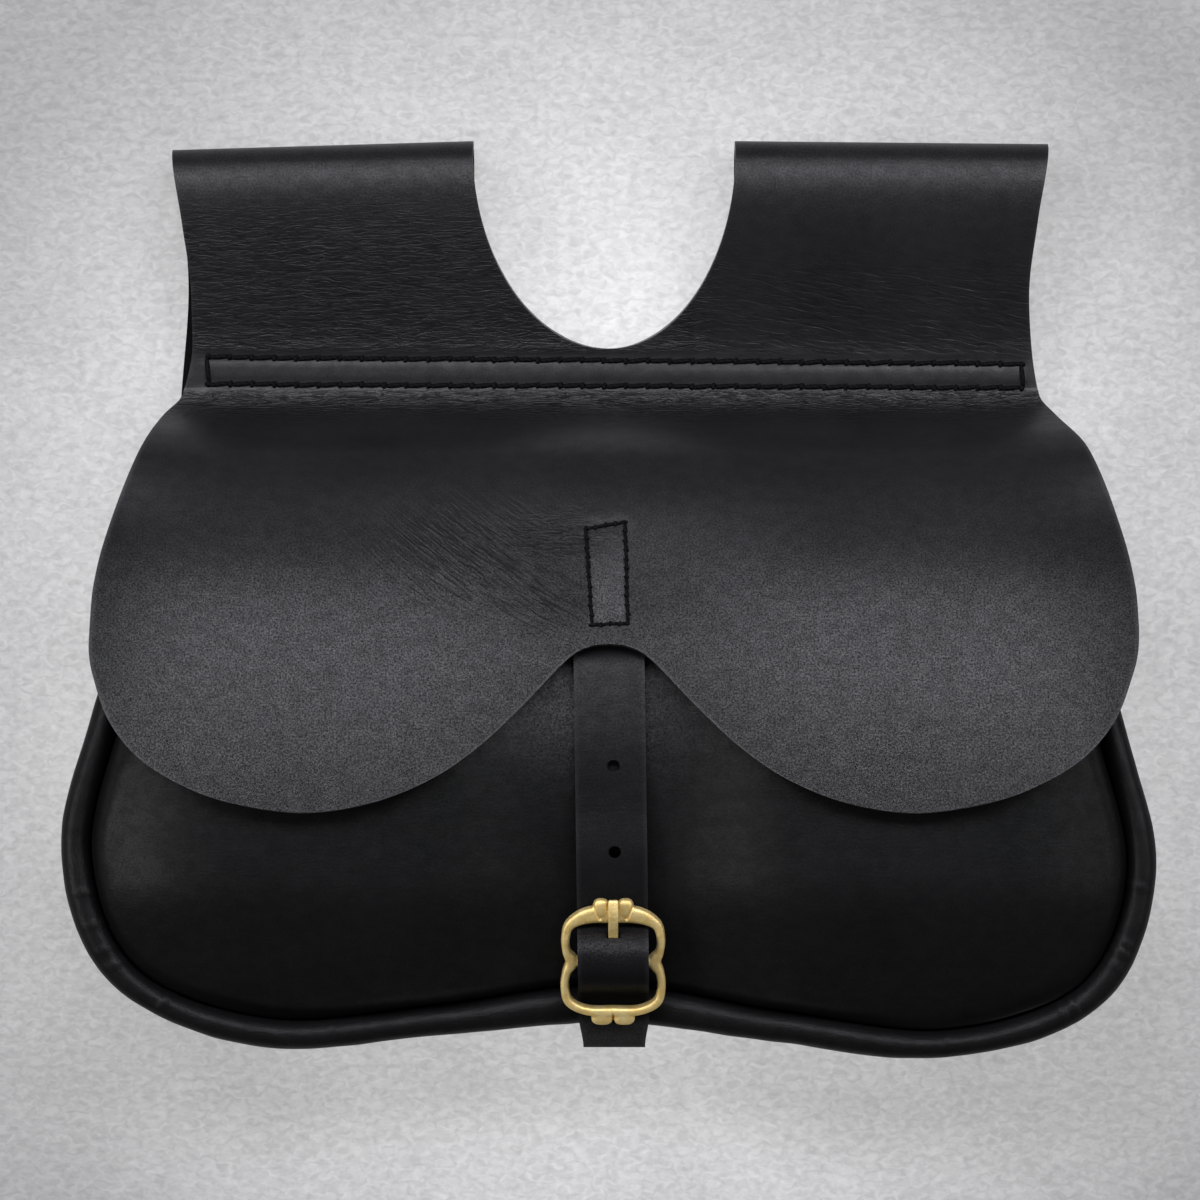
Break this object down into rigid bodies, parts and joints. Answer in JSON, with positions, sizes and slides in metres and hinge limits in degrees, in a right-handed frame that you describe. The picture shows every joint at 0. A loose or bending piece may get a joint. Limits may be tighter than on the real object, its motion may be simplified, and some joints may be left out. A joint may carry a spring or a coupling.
{
  "type": "belt pouch",
  "caption": "Two-lobed black leather belt pouch with belt loops, a curved flap and a strap that closes in a small brass buckle.",
  "frame": {"origin": "on the surface that the pouch lies on, under the middle of its width and length", "axes": "+X to the pouch's right as seen from its front, +Y up towards the belt loops, +Z out of its front"},
  "size_m": [0.2842, 0.2403, 0.0663],
  "materials": {
    "leather": "satin black with a fine grain",
    "brass": "pale satin casting",
    "thread": "black waxed thread"
  },
  "bodies": {
    "root": {"flap_with_belt_loops": "leather", "front_panel": "leather", "gusset": "leather", "back_panel": "leather", "closing_strap": "leather", "buckle_chape": "leather", "buckle_frame": "brass", "buckle_tongue": "brass"}
  },
  "joints": []
}
